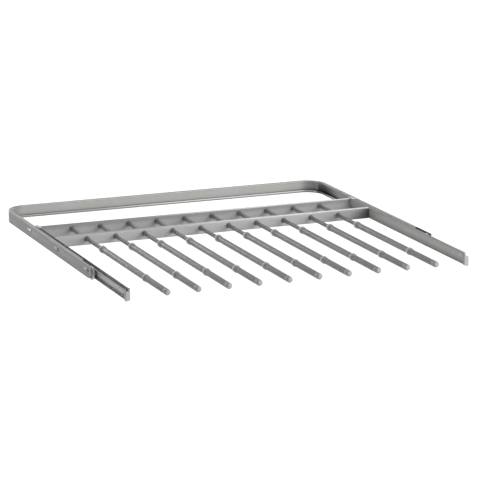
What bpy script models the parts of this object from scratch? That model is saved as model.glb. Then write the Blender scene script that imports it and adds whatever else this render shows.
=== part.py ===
"""Pull-out trouser hanger for a wardrobe.

A fixed U-shaped frame of rolled steel channel holds a sliding carriage: two rails, two crossbars
and ten sleeved rods. Front rollers sit on the frame and run in the rails, rear rollers sit on the
rails and run in the frame. The carriage stands partly pulled out.

Metres, +Z up. The origin is the middle of the back bar's outer face. The front is towards -Y.
"""

import math

import bmesh
import bpy
from mathutils import Matrix, Vector

# Clearances
GAP = 0.0003                 # between pieces that touch
RAIL_GAP = 0.0004            # between a rail and the lips of the leg beside it
OVERRUN = 0.002              # by which every cutter passes the face that it cuts
WELD = 0.000003              # points closer than this are one point where a turned body closes

# Fixed frame
FRAME_WIDTH = 0.712          # over the outer faces of the legs
FRAME_DEPTH = 0.553          # back face to the front ends of the legs
FRAME_HEIGHT = 0.0258
FRAME_GAUGE = 0.0010         # thickness of the strip
FRAME_FLANGE = 0.0075        # width of the channel
FRAME_LIP = 0.0022           # height of the lips along both flanges
FRAME_CORNER = 0.043         # outer radius of the two bent corners
BEND_RADIUS = 0.0008         # inner radius where a strip is folded
TOP_CUTAWAY = 0.062          # length at the front where a leg has no top flange
ROLLER_WELL_CLEAR = 0.001    # bottom flange to the rim of the front roller
LEG_NOSE = 0.012             # radius of the lower front corner of a leg
SCREW_HOLE_RADIUS = 0.0025
SCREW_HOLE_SETBACK = 0.025   # front end of the leg to the nearest screw hole
SCREW_HOLE_PITCH = 0.175
SCREW_HOLE_RISE = 0.002      # above the middle of the leg
COUNTERSINK_RADIUS = 0.0038
SCREW_HOLE_COUNT = 3

# Carriage rails
PULL = 0.1950                # back face to the rear ends of the rails, as it stands
RAIL_LENGTH = 0.5240
RAIL_HEIGHT = 0.0228
RAIL_DEPTH = 0.0065
RAIL_GAUGE = 0.0010
RAIL_LIFT = 0.0022           # underside of the frame to the underside of the rails
RAIL_LEDGE = 0.0172          # underside of the rail to the ledge that runs on the front roller
RAIL_BEAD = 0.0010           # depth of the stiffening bead
RAIL_BEAD_LOW = 0.0060
RAIL_BEAD_HIGH = 0.0125
RAIL_HOLE_RADIUS = 0.0015
RAIL_HOLE_SETBACK = 0.016    # front end of the rail to the small hole in its web
RAIL_HOLE_HEIGHT = 0.0152

# Rollers and axles
FRONT_ROLLER_SETBACK = 0.012     # front end of the leg to the front axle
REAR_ROLLER_INSET = 0.0480       # rear end of the rail to the rear axle
ROLLER_RIM_DROP = 0.0020         # by which the front roller's rim hangs below the frame
ROLLER_RIM_WIDTH = 0.0036
FRONT_HUB_RADIUS = 0.0056        # hub between the front roller's rim and the leg
ROLLER_EDGE = 0.0004             # chamfer on the rolling edges
REAR_HUB_RADIUS = 0.0048
REAR_RECESS_RADIUS = 0.0044
REAR_RECESS_DEPTH = 0.0013
AXLE_RADIUS = 0.0020
AXLE_HEAD_RADIUS = 0.0034
AXLE_HEAD_THICKNESS = 0.0007
AXLE_END_SINK = 0.0002           # by which a riveted end stays under the face round it

# Crossbars
CROSSBAR_DEPTH = 0.0065
CROSSBAR_GAUGE = 0.0010
CROSSBAR_SPACING = 0.0920        # front face to front face
REAR_CROSSBAR_INSET = 0.0065     # rear ends of the rails to the front face of the rear crossbar

# Rods, sleeves and rings
ROD_COUNT = 10
ROD_MARGIN = 0.0689             # rail to the outermost rod's axis, with the row in the middle
ROD_ROW_OFFSET = -0.0018         # middle of the row from the middle of the carriage
ROD_HEIGHT = 0.0150              # above the underside of the frame
ROD_RADIUS = 0.0040
ROD_WALL = 0.0010
ROD_REACH = 0.4492               # front crossbar to the front end of a rod
ROD_TAIL = 0.0050                # length behind the front face of the rear crossbar
SLEEVE_WALL = 0.0017
SLEEVE_TIP_WALL = 0.0030
SLEEVE_TIP_ROUND = 0.0030
RING_LENGTH = 0.0120
RING_COLLAR = 0.0022             # length of the full-size collar
RING_WALL = 0.0013
RING_TOE = 0.0004                # wall where the ring's taper ends
REAR_RING_REACH = 0.0922         # front crossbar to the rear face of the rear ring
FRONT_RING_REACH = 0.3332
RING_SHOULDER = 0.0010           # rear wall of the rear ring, which covers the sleeve's end

# Plastic end caps
FRONT_CAP_THICKNESS = 0.0064
REAR_CAP_THICKNESS = 0.0030
CAP_OVERHANG = 0.0002            # by which a cap stands proud of its rail
FRONT_CAP_OVERHANG = 0.0010      # the same at the sides of a front cap
CAP_ROUND = 0.0010
CAP_PLUG_LENGTH = 0.0080
CAP_FOOT_DROP = 0.0014
CAP_FOOT_WIDTH = 0.0034
CAP_TAB_WIDTH = 0.0028           # part of a front cap that is as high as its rail
CAP_EAR_LENGTH = 0.0165          # tongue of a rear cap over the top of its rail
CAP_EAR_RISE = 0.0019            # top of the rail to the top of the tongue

# Fineness of round forms
BEND_STEPS = 2
CORNER_STEPS = 8
TURN_STEPS = 20
ROD_STEPS = 16
HOLE_STEPS = 12
TIP_STEPS = 4
SMOOTH_ANGLE = math.radians(30)

SIDES = (-1, 1)
SIDE_NAME = {-1: "left", 1: "right"}

# Derived places
FRAME_BOTTOM = -FRAME_HEIGHT / 2
LEG_OUTER_X = FRAME_WIDTH / 2
RAIL_OUTER_X = LEG_OUTER_X - FRAME_FLANGE - RAIL_GAP
RAIL_INNER_X = RAIL_OUTER_X - RAIL_DEPTH
RAIL_BOTTOM = FRAME_BOTTOM + RAIL_LIFT
RAIL_REAR_Y = -PULL
RAIL_FRONT_Y = RAIL_REAR_Y - RAIL_LENGTH
FRONT_AXLE_Y = -(FRAME_DEPTH - FRONT_ROLLER_SETBACK)
FRONT_AXLE_Z = RAIL_BOTTOM + (RAIL_GAUGE + RAIL_LEDGE) / 2
REAR_AXLE_Y = RAIL_REAR_Y - REAR_ROLLER_INSET
REAR_AXLE_Z = 0.0
DRUM_RADIUS = (RAIL_LEDGE - RAIL_GAUGE) / 2 - GAP
RIM_RADIUS = FRONT_AXLE_Z - FRAME_BOTTOM + ROLLER_RIM_DROP
REAR_ROLLER_RADIUS = FRAME_HEIGHT / 2 - FRAME_GAUGE - GAP
REAR_CROSSBAR_Y = RAIL_REAR_Y - REAR_CROSSBAR_INSET
FRONT_CROSSBAR_Y = REAR_CROSSBAR_Y - CROSSBAR_SPACING
ROD_PITCH = 2 * (RAIL_INNER_X - ROD_MARGIN) / (ROD_COUNT - 1)
ROD_Z = FRAME_BOTTOM + ROD_HEIGHT
SLEEVE_BORE = ROD_RADIUS + GAP
SLEEVE_RADIUS = SLEEVE_BORE + SLEEVE_WALL
RING_BORE = SLEEVE_RADIUS + GAP


def clear_scene():
    """Remove every object of the scene that the script starts in."""
    for thing in list(bpy.data.objects):
        bpy.data.objects.remove(thing, do_unlink=True)


def finish_material(name, colour, roughness, metallic):
    """A plain Principled finish."""
    material = bpy.data.materials.new(name)
    material.use_nodes = True
    shader = material.node_tree.nodes["Principled BSDF"]
    shader.inputs["Base Color"].default_value = (*colour, 1.0)
    shader.inputs["Roughness"].default_value = roughness
    shader.inputs["Metallic"].default_value = metallic
    return material


def rounded(outline):
    """Corner points (u, v, radius) as a plain outline whose corners are arcs of BEND_STEPS."""
    points = []
    count = len(outline)
    for i, (u, v, radius) in enumerate(outline):
        corner = Vector((u, v))
        if radius == 0:
            points.append(corner)
            continue
        before = (Vector(outline[i - 1][:2]) - corner).normalized()
        after = (Vector(outline[(i + 1) % count][:2]) - corner).normalized()
        half = before.angle(after) / 2
        centre = corner + (before + after).normalized() * (radius / math.sin(half))
        start = corner + before * (radius / math.tan(half)) - centre
        end = corner + after * (radius / math.tan(half)) - centre
        sweep = start.angle_signed(end)
        for step in range(BEND_STEPS + 1):
            turn = Matrix.Rotation(-sweep * step / BEND_STEPS, 2)
            points.append(centre + turn @ start)
    return points


def new_object(name, bm, material, parent=None):
    """Close off a bmesh as a named, outward-facing, smooth-shaded object."""
    inner = [face for face in bm.faces if all(len(edge.link_faces) > 2 for edge in face.edges)]
    bmesh.ops.delete(bm, geom=inner, context="FACES_ONLY")
    bmesh.ops.recalc_face_normals(bm, faces=bm.faces)
    mesh = bpy.data.meshes.new(name)
    bm.to_mesh(mesh)
    bm.free()
    mesh.materials.append(material)
    mesh.shade_smooth()
    mesh.set_sharp_from_angle(angle=SMOOTH_ANGLE)
    thing = bpy.data.objects.new(name, mesh)
    bpy.context.collection.objects.link(thing)
    thing.parent = parent
    return thing


def face_from(bm, points):
    """A single face through the points, ready to be carried along."""
    return bm.faces.new([bm.verts.new(point) for point in points])


def carry(bm, face, offset):
    """Extrude a face by a straight offset and return the face at the new end."""
    made = bmesh.ops.extrude_face_region(bm, geom=[face])["geom"]
    bmesh.ops.translate(bm, vec=offset, verts=[v for v in made if isinstance(v, bmesh.types.BMVert)])
    return next(f for f in made if isinstance(f, bmesh.types.BMFace))


def turn_corner(bm, face, centre, angle):
    """Carry a face round a vertical axis and return the face at the new end."""
    geom = [face, *face.edges, *face.verts]
    made = bmesh.ops.spin(bm, geom=geom, cent=centre, axis=(0, 0, 1), angle=angle, steps=CORNER_STEPS)
    return next(f for f in made["geom_last"] if isinstance(f, bmesh.types.BMFace))


def turned(bm, outline, steps, axis, centre):
    """Turn an outline of (along, radius) points into a closed body about an axis through centre.

    The outline runs from end to end where it starts and ends on the axis, and is a closed loop
    where the body has a bore.
    """
    along = Vector(axis)
    across = Vector((0, 0, 1))
    verts = [bm.verts.new(Vector(centre) + along * a + across * r) for a, r in outline]
    solid = outline[0][1] == 0
    pairs = zip(verts, verts[1:]) if solid else zip(verts, verts[1:] + verts[:1])
    edges = [bm.edges.new(pair) for pair in pairs]
    bmesh.ops.spin(bm, geom=verts + edges, cent=centre, axis=axis, angle=math.tau, steps=steps)
    bmesh.ops.remove_doubles(bm, verts=bm.verts, dist=WELD)


def cutter(name, bm, parent=None):
    """A body that only cuts others."""
    mesh = bpy.data.meshes.new(name)
    bmesh.ops.recalc_face_normals(bm, faces=bm.faces)
    bm.to_mesh(mesh)
    bm.free()
    thing = bpy.data.objects.new(name, mesh)
    bpy.context.collection.objects.link(thing)
    thing.hide_render = True
    thing.display_type = "WIRE"
    thing.parent = parent
    return thing


def boolean(target, tool, operation="DIFFERENCE"):
    """Cut, or join, with the exact solver."""
    modifier = target.modifiers.new(tool.name, "BOOLEAN")
    modifier.operation = operation
    modifier.solver = "EXACT"
    modifier.object = tool


def box(bm, low, high):
    """Add an upright box between two corners."""
    size = Vector(high) - Vector(low)
    middle = (Vector(high) + Vector(low)) / 2
    bmesh.ops.create_cube(bm, size=1, matrix=Matrix.Translation(middle) @ Matrix.Diagonal((*size, 1)))


def frame_section():
    """Lipped channel, as (inward, up) points: outer face at 0, underside at FRAME_BOTTOM."""
    width, top, low = FRAME_FLANGE, FRAME_BOTTOM + FRAME_HEIGHT, FRAME_BOTTOM
    gauge, outer = FRAME_GAUGE, BEND_RADIUS + FRAME_GAUGE
    return rounded([
        (0, low, outer), (width, low, outer),
        (width, low + FRAME_LIP, 0), (width - gauge, low + FRAME_LIP, 0),
        (width - gauge, low + gauge, BEND_RADIUS), (gauge, low + gauge, BEND_RADIUS),
        (gauge, top - gauge, BEND_RADIUS), (width - gauge, top - gauge, BEND_RADIUS),
        (width - gauge, top - FRAME_LIP, 0), (width, top - FRAME_LIP, 0),
        (width, top, outer), (0, top, outer),
    ])


def leg_end_cutters(side):
    """What is cut from a leg's front: top flange, bottom flange, lower corner, holes."""
    front = -FRAME_DEPTH
    outer = side * LEG_OUTER_X
    stub = side * (LEG_OUTER_X - FRAME_GAUGE - BEND_RADIUS)
    inner = side * (LEG_OUTER_X - FRAME_FLANGE - OVERRUN)
    low_x, high_x = min(stub, inner), max(stub, inner)
    top, bottom = FRAME_BOTTOM + FRAME_HEIGHT, FRAME_BOTTOM
    flange = FRAME_LIP + OVERRUN
    rim_space = FRONT_ROLLER_SETBACK + RIM_RADIUS + ROLLER_WELL_CLEAR
    bm = bmesh.new()
    box(bm, (low_x, front - OVERRUN, top - flange), (high_x, front + TOP_CUTAWAY, top + OVERRUN))
    box(bm, (low_x, front - OVERRUN, bottom - OVERRUN), (high_x, front + rim_space, bottom + flange))
    flanges = cutter(f"cut_flanges_{SIDE_NAME[side]}", bm)

    bm = bmesh.new()
    turned(bm, [(0, 0), (0, AXLE_RADIUS + GAP), (FRAME_GAUGE + OVERRUN, AXLE_RADIUS + GAP),
                (FRAME_GAUGE + OVERRUN, 0)],
           HOLE_STEPS, (-side, 0, 0), (outer + side * OVERRUN / 2, FRONT_AXLE_Y, FRONT_AXLE_Z))
    axle_hole = cutter(f"cut_axle_hole_{SIDE_NAME[side]}", bm)

    bm = bmesh.new()
    flare = OVERRUN / 2
    for i in range(SCREW_HOLE_COUNT):
        y = front + SCREW_HOLE_SETBACK + i * SCREW_HOLE_PITCH
        depth = FRAME_GAUGE + 2 * flare
        outline = [(0, 0), (0, SCREW_HOLE_RADIUS), (flare, SCREW_HOLE_RADIUS),
                   (flare + FRAME_GAUGE, COUNTERSINK_RADIUS), (depth, COUNTERSINK_RADIUS), (depth, 0)]
        single = bmesh.new()
        turned(single, outline, HOLE_STEPS, (-side, 0, 0),
               (outer + side * flare, y, SCREW_HOLE_RISE))
        mesh = bpy.data.meshes.new("screw_hole")
        single.to_mesh(mesh)
        single.free()
        bm.from_mesh(mesh)
        bpy.data.meshes.remove(mesh)
    screw_holes = cutter(f"cut_screw_holes_{SIDE_NAME[side]}", bm)

    bm = bmesh.new()
    centre = Vector((outer, front + LEG_NOSE, bottom + LEG_NOSE))
    reach = FRAME_GAUGE + BEND_RADIUS + OVERRUN
    rim = []
    for step in range(CORNER_STEPS + 1):
        angle = math.pi + (math.pi / 2) * step / CORNER_STEPS
        rim.append(centre + LEG_NOSE * Vector((0, math.cos(angle), math.sin(angle))))
    rim.append(Vector((outer, front + LEG_NOSE, bottom - OVERRUN)))
    rim.append(Vector((outer, front - OVERRUN, bottom - OVERRUN)))
    rim.append(Vector((outer, front - OVERRUN, bottom + LEG_NOSE)))
    face = face_from(bm, [point + Vector((side * OVERRUN, 0, 0)) for point in rim])
    carry(bm, face, (-side * (reach + OVERRUN), 0, 0))
    nose = cutter(f"cut_nose_{SIDE_NAME[side]}", bm)
    return [flanges, axle_hole, screw_holes, nose]


def u_frame(material):
    """The lipped channel carried down one leg, round the corners and along the other leg."""
    bm = bmesh.new()
    straight = FRAME_DEPTH - FRAME_CORNER
    bar = FRAME_WIDTH - 2 * FRAME_CORNER
    start = [(-LEG_OUTER_X + u, -FRAME_DEPTH, z) for u, z in frame_section()]
    face = face_from(bm, start)
    face = carry(bm, face, (0, straight, 0))
    face = turn_corner(bm, face, (-LEG_OUTER_X + FRAME_CORNER, -FRAME_CORNER, 0), -math.pi / 2)
    face = carry(bm, face, (bar, 0, 0))
    face = turn_corner(bm, face, (LEG_OUTER_X - FRAME_CORNER, -FRAME_CORNER, 0), -math.pi / 2)
    carry(bm, face, (0, -straight, 0))
    thing = new_object("u_frame", bm, material)
    for side in SIDES:
        for tool in leg_end_cutters(side):
            boolean(thing, tool)
    return thing


def rail_section():
    """Rail as (outward, up) points from the foot of its inner face."""
    gauge, depth, bead = RAIL_GAUGE, RAIL_DEPTH, RAIL_BEAD
    floor = RAIL_LEDGE + gauge
    return [
        (0, 0), (depth, 0), (depth, gauge), (gauge, gauge),
        (gauge, RAIL_BEAD_LOW - bead), (gauge + bead, RAIL_BEAD_LOW),
        (gauge + bead, RAIL_BEAD_HIGH), (gauge, RAIL_BEAD_HIGH + bead),
        (gauge, RAIL_LEDGE), (depth, RAIL_LEDGE), (depth, floor), (gauge, floor),
        (gauge, RAIL_HEIGHT - gauge), (depth, RAIL_HEIGHT - gauge), (depth, RAIL_HEIGHT),
        (0, RAIL_HEIGHT),
    ]


def rail(side, material, parent):
    """Rolled rail, open outwards, with a ledge over the roller's run and a bead along its web."""
    bm = bmesh.new()
    points = [(side * (RAIL_INNER_X + u), RAIL_REAR_Y, RAIL_BOTTOM + v) for u, v in rail_section()]
    carry(bm, face_from(bm, points), (0, -RAIL_LENGTH, 0))
    thing = new_object(f"rail_{SIDE_NAME[side]}", bm, material, parent)
    through = RAIL_GAUGE + RAIL_BEAD + OVERRUN
    holes = (
        ("axle", AXLE_RADIUS + GAP, REAR_AXLE_Y, REAR_AXLE_Z),
        ("small", RAIL_HOLE_RADIUS, RAIL_FRONT_Y + RAIL_HOLE_SETBACK, RAIL_BOTTOM + RAIL_HOLE_HEIGHT),
    )
    for label, radius, y, z in holes:
        bm = bmesh.new()
        turned(bm, [(0, 0), (0, radius), (through, radius), (through, 0)], HOLE_STEPS,
               (side, 0, 0), (side * (RAIL_INNER_X - OVERRUN / 2), y, z))
        boolean(thing, cutter(f"cut_{label}_hole_{SIDE_NAME[side]}", bm, parent))
    return thing


def rod_places():
    """X of every rod, from left to right."""
    first = ROD_ROW_OFFSET - ROD_PITCH * (ROD_COUNT - 1) / 2
    return [first + ROD_PITCH * i for i in range(ROD_COUNT)]


def crossbar(name, front_y, material, parent):
    """Channel between the rails, open to the rear, with a hole for each rod."""
    depth, gauge = CROSSBAR_DEPTH, CROSSBAR_GAUGE
    outer = BEND_RADIUS + gauge
    section = rounded([
        (0, 0, outer), (depth, 0, 0), (depth, gauge, 0), (gauge, gauge, BEND_RADIUS),
        (gauge, RAIL_HEIGHT - gauge, BEND_RADIUS), (depth, RAIL_HEIGHT - gauge, 0),
        (depth, RAIL_HEIGHT, 0), (0, RAIL_HEIGHT, outer),
    ])
    half = RAIL_INNER_X - GAP
    bm = bmesh.new()
    face = face_from(bm, [(-half, front_y + u, RAIL_BOTTOM + v) for u, v in section])
    carry(bm, face, (2 * half, 0, 0))
    thing = new_object(name, bm, material, parent)
    for i, x in enumerate(rod_places()):
        bm = bmesh.new()
        reach = gauge + OVERRUN
        turned(bm, [(0, 0), (0, ROD_RADIUS + GAP), (reach, ROD_RADIUS + GAP), (reach, 0)],
               HOLE_STEPS, (0, 1, 0), (x, front_y - OVERRUN / 2, ROD_Z))
        boolean(thing, cutter(f"cut_{name}_{i + 1:02d}", bm, parent))
    return thing


def front_roller(side, material):
    """Turned wheel: a drum inside the rail, a rim beside it, and a hub towards the leg."""
    outer = LEG_OUTER_X - FRAME_GAUGE - GAP - AXLE_HEAD_THICKNESS - GAP
    rim = RAIL_OUTER_X + RAIL_GAP
    rim_end = rim + ROLLER_RIM_WIDTH
    inner = RAIL_INNER_X + RAIL_GAUGE + RAIL_BEAD + GAP + AXLE_HEAD_THICKNESS + GAP
    edge, bore = ROLLER_EDGE, AXLE_RADIUS + GAP
    outline = [
        (inner, bore), (inner, DRUM_RADIUS - edge), (inner + edge, DRUM_RADIUS), (rim, DRUM_RADIUS),
        (rim, RIM_RADIUS - edge), (rim + edge, RIM_RADIUS), (rim_end - edge, RIM_RADIUS),
        (rim_end, RIM_RADIUS - edge), (rim_end, FRONT_HUB_RADIUS), (outer, FRONT_HUB_RADIUS), (outer, bore),
    ]
    return wheel(f"front_roller_{SIDE_NAME[side]}", outline, side, FRONT_AXLE_Y, FRONT_AXLE_Z, material)


def rear_roller(side, material):
    """Turned wheel inside the leg, on a hub that reaches it from the rail."""
    outer = LEG_OUTER_X - FRAME_GAUGE - GAP
    rim = LEG_OUTER_X - FRAME_FLANGE + FRAME_GAUGE + GAP
    inner = RAIL_INNER_X + RAIL_GAUGE + RAIL_BEAD + GAP + AXLE_HEAD_THICKNESS + GAP
    edge, bore, radius = ROLLER_EDGE, AXLE_RADIUS + GAP, REAR_ROLLER_RADIUS
    outline = [
        (inner, bore), (inner, REAR_HUB_RADIUS), (rim, REAR_HUB_RADIUS), (rim, radius - edge),
        (rim + edge, radius), (outer - edge, radius), (outer, radius - edge), (outer, REAR_RECESS_RADIUS),
        (outer - REAR_RECESS_DEPTH, REAR_RECESS_RADIUS), (outer - REAR_RECESS_DEPTH, bore),
    ]
    return wheel(f"rear_roller_{SIDE_NAME[side]}", outline, side, REAR_AXLE_Y, REAR_AXLE_Z, material)


def wheel(name, outline, side, y, z, material):
    """A turned body whose origin is on its axis, from an outline of (distance from middle, radius)."""
    bm = bmesh.new()
    middle = side * RAIL_OUTER_X
    shifted = [(a - RAIL_OUTER_X, r) for a, r in outline]
    turned(bm, shifted, TURN_STEPS, (side, 0, 0), (0, 0, 0))
    thing = new_object(name, bm, material)
    thing.location = (middle, y, z)
    return thing


def axle(name, side, stations, y, z, material, parent=None):
    """Riveted pin from (distance from middle, radius) stations, closed at both ends."""
    bm = bmesh.new()
    outline = [(stations[0][0], 0), *stations, (stations[-1][0], 0)]
    turned(bm, outline, ROD_STEPS, (side, 0, 0), (0, y, z))
    return new_object(name, bm, material, parent)


def front_axle(side, material):
    """Pin riveted into the leg, with a shoulder at the leg and a head inside the rail."""
    sunk = LEG_OUTER_X - AXLE_END_SINK
    shoulder = LEG_OUTER_X - FRAME_GAUGE - GAP
    head = RAIL_INNER_X + RAIL_GAUGE + RAIL_BEAD + GAP
    stations = [
        (head, AXLE_HEAD_RADIUS), (head + AXLE_HEAD_THICKNESS, AXLE_HEAD_RADIUS),
        (head + AXLE_HEAD_THICKNESS, AXLE_RADIUS), (shoulder - AXLE_HEAD_THICKNESS, AXLE_RADIUS),
        (shoulder - AXLE_HEAD_THICKNESS, AXLE_HEAD_RADIUS), (shoulder, AXLE_HEAD_RADIUS),
        (shoulder, AXLE_RADIUS), (sunk, AXLE_RADIUS),
    ]
    return axle(f"front_axle_{SIDE_NAME[side]}", side, stations, FRONT_AXLE_Y, FRONT_AXLE_Z, material)


def rear_axle(side, material, parent):
    """Pin riveted into the rail, with its head on the rail's inner face and its end in the wheel."""
    head = RAIL_INNER_X - GAP - AXLE_HEAD_THICKNESS
    shoulder = RAIL_INNER_X + RAIL_GAUGE + RAIL_BEAD + GAP
    end = LEG_OUTER_X - FRAME_GAUGE - GAP - AXLE_END_SINK
    stations = [
        (head, AXLE_HEAD_RADIUS), (head + AXLE_HEAD_THICKNESS, AXLE_HEAD_RADIUS),
        (head + AXLE_HEAD_THICKNESS, AXLE_RADIUS), (shoulder, AXLE_RADIUS),
        (shoulder, AXLE_HEAD_RADIUS), (shoulder + AXLE_HEAD_THICKNESS, AXLE_HEAD_RADIUS),
        (shoulder + AXLE_HEAD_THICKNESS, AXLE_RADIUS), (end - AXLE_HEAD_THICKNESS, AXLE_RADIUS),
        (end - AXLE_HEAD_THICKNESS, AXLE_HEAD_RADIUS), (end, AXLE_HEAD_RADIUS),
    ]
    name = f"rear_axle_{SIDE_NAME[side]}"
    return axle(name, side, stations, REAR_AXLE_Y, REAR_AXLE_Z, material, parent)


def cap(name, side, rear, material, parent):
    """Plastic cap with a plug in the rail: a stepped plate and foot in front, a tongue behind."""
    direction = 1 if rear else -1
    end = (RAIL_REAR_Y if rear else RAIL_FRONT_Y) + direction * GAP
    thickness = REAR_CAP_THICKNESS if rear else FRONT_CAP_THICKNESS
    low, high = RAIL_BOTTOM - CAP_OVERHANG, RAIL_BOTTOM + RAIL_HEIGHT + CAP_OVERHANG
    side_overhang = CAP_OVERHANG if rear else FRONT_CAP_OVERHANG
    inner, outer = RAIL_INNER_X - side_overhang, RAIL_OUTER_X + side_overhang
    if rear:
        high = RAIL_BOTTOM + RAIL_HEIGHT + CAP_EAR_RISE
    plate = [
        (inner, low, CAP_ROUND), (outer, low, CAP_ROUND), (outer, high, CAP_ROUND),
        (inner, high, CAP_ROUND),
    ]
    if not rear:
        foot, step = low - CAP_FOOT_DROP, RAIL_BOTTOM + RAIL_LEDGE
        tab = inner + CAP_TAB_WIDTH
        plate = [
            (inner, low, 0), (outer - CAP_FOOT_WIDTH, low, 0),
            (outer - CAP_FOOT_WIDTH, foot, CAP_ROUND / 2), (outer, foot, CAP_ROUND / 2),
            (outer, step, CAP_ROUND), (tab, step, 0), (tab, high, CAP_ROUND / 2),
            (inner, high, CAP_ROUND / 2),
        ]
    bm = bmesh.new()
    face = face_from(bm, [(side * u, end, v) for u, v in rounded(plate)])
    carry(bm, face, (0, direction * thickness, 0))
    thing = new_object(name, bm, material, parent)
    bm = bmesh.new()
    near = RAIL_INNER_X + RAIL_GAUGE + RAIL_BEAD + GAP
    far = RAIL_OUTER_X - GAP
    corners = [side * near, side * far]
    run = sorted((end + direction * thickness / 2, end - direction * CAP_PLUG_LENGTH))
    box(bm, (min(corners), run[0], RAIL_BOTTOM + RAIL_GAUGE + GAP),
        (max(corners), run[1], RAIL_BOTTOM + RAIL_LEDGE - GAP))
    boolean(thing, cutter(f"plug_{name}", bm, parent), "UNION")
    if rear:
        bm = bmesh.new()
        tongue = [
            (inner, RAIL_BOTTOM + RAIL_HEIGHT + GAP, 0), (outer, RAIL_BOTTOM + RAIL_HEIGHT + GAP, 0),
            (outer, high, CAP_ROUND), (inner, high, CAP_ROUND),
        ]
        start = end + direction * thickness / 2
        face = face_from(bm, [(side * u, start, v) for u, v in rounded(tongue)])
        carry(bm, face, (0, -direction * (thickness / 2 + CAP_EAR_LENGTH), 0))
        boolean(thing, cutter(f"tongue_{name}", bm, parent), "UNION")
    return thing


def along_rod(bm, outline, steps, x):
    """Turn an outline of (distance in front of the front crossbar, radius) about a rod's axis."""
    turned(bm, outline, steps, (0, -1, 0), (x, FRONT_CROSSBAR_Y, ROD_Z))


def rod(number, x, material, parent):
    """Thin tube from inside the rear crossbar to the front end."""
    rear = -CROSSBAR_SPACING - ROD_TAIL
    bore = ROD_RADIUS - ROD_WALL
    bm = bmesh.new()
    outline = [(rear, bore), (rear, ROD_RADIUS), (ROD_REACH, ROD_RADIUS), (ROD_REACH, bore)]
    along_rod(bm, outline, ROD_STEPS, x)
    return new_object(f"rod_{number:02d}", bm, material, parent)


def sleeve(number, x, material, parent):
    """Plastic sleeve over the front of a rod, with a closed, rounded tip."""
    start = REAR_RING_REACH + RING_SHOULDER + GAP
    inside = ROD_REACH + GAP
    tip = inside + SLEEVE_TIP_WALL
    outline = [(inside, 0), (inside, SLEEVE_BORE), (start, SLEEVE_BORE), (start, SLEEVE_RADIUS)]
    for step in range(TIP_STEPS):
        angle = math.pi / 2 * step / TIP_STEPS
        outline.append((tip - SLEEVE_TIP_ROUND * (1 - math.sin(angle)),
                        SLEEVE_RADIUS - SLEEVE_TIP_ROUND * (1 - math.cos(angle))))
    outline.append((tip, 0))
    bm = bmesh.new()
    along_rod(bm, outline, ROD_STEPS, x)
    return new_object(f"sleeve_{number:02d}", bm, material, parent)


def ring(name, reach, bore_steps, x, material, parent):
    """Stop ring: a collar to the rear and a taper to the front, round the bore_steps given."""
    full = RING_BORE + RING_WALL
    outline = [
        *bore_steps, (reach, full - RING_TOE), (reach + RING_TOE, full),
        (reach + RING_COLLAR, full), (reach + RING_LENGTH, RING_BORE + RING_TOE),
        (reach + RING_LENGTH, RING_BORE),
    ]
    bm = bmesh.new()
    along_rod(bm, outline, ROD_STEPS, x)
    return new_object(name, bm, material, parent)


def hanging_rods(finish, parent):
    """Every rod with its sleeve and its two stop rings."""
    for number, x in enumerate(rod_places(), start=1):
        rod(number, x, finish["rod"], parent)
        sleeve(number, x, finish["sleeve"], parent)
        wall = REAR_RING_REACH + RING_SHOULDER
        over_sleeve = [(wall, RING_BORE), (wall, SLEEVE_BORE), (REAR_RING_REACH, SLEEVE_BORE)]
        ring(f"rear_ring_{number:02d}", REAR_RING_REACH, over_sleeve, x, finish["ring"], parent)
        ring(f"front_ring_{number:02d}", FRONT_RING_REACH, [(FRONT_RING_REACH, RING_BORE)], x,
             finish["ring"], parent)


def build():
    clear_scene()
    finish = {
        "frame": finish_material("frame_paint", (0.30, 0.30, 0.29), 0.45, 0.6),
        "rail": finish_material("rail_zinc", (0.34, 0.34, 0.33), 0.40, 0.8),
        "crossbar": finish_material("crossbar_paint", (0.36, 0.36, 0.36), 0.45, 0.5),
        "rod": finish_material("rod_steel", (0.22, 0.22, 0.22), 0.40, 0.8),
        "sleeve": finish_material("sleeve_plastic", (0.24, 0.24, 0.24), 0.55, 0.0),
        "ring": finish_material("ring_plastic", (0.30, 0.30, 0.30), 0.50, 0.0),
        "roller": finish_material("roller_nylon", (0.42, 0.42, 0.41), 0.45, 0.0),
        "axle": finish_material("axle_steel", (0.40, 0.40, 0.40), 0.35, 1.0),
        "cap": finish_material("cap_plastic", (0.45, 0.45, 0.46), 0.50, 0.0),
    }
    carriage = bpy.data.objects.new("carriage", None)
    bpy.context.collection.objects.link(carriage)

    u_frame(finish["frame"])
    for side in SIDES:
        front_axle(side, finish["axle"])
        front_roller(side, finish["roller"])
        rail(side, finish["rail"], carriage)
        rear_axle(side, finish["axle"], carriage)
        rear_roller(side, finish["roller"]).parent = carriage
        cap(f"front_cap_{SIDE_NAME[side]}", side, False, finish["cap"], carriage)
        cap(f"rear_cap_{SIDE_NAME[side]}", side, True, finish["cap"], carriage)
    crossbar("front_crossbar", FRONT_CROSSBAR_Y, finish["crossbar"], carriage)
    crossbar("rear_crossbar", REAR_CROSSBAR_Y, finish["crossbar"], carriage)
    hanging_rods(finish, carriage)


build()
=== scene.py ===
"""Looks of a pull-out trouser hanger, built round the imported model.

Metres, +Z up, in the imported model's own frame: the back bar's outer face is at Y = 0 and the
carriage pulls out towards -Y. Each new piece stands for a node and keeps to that node's box, or
is added beside one.
"""

import math

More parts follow.
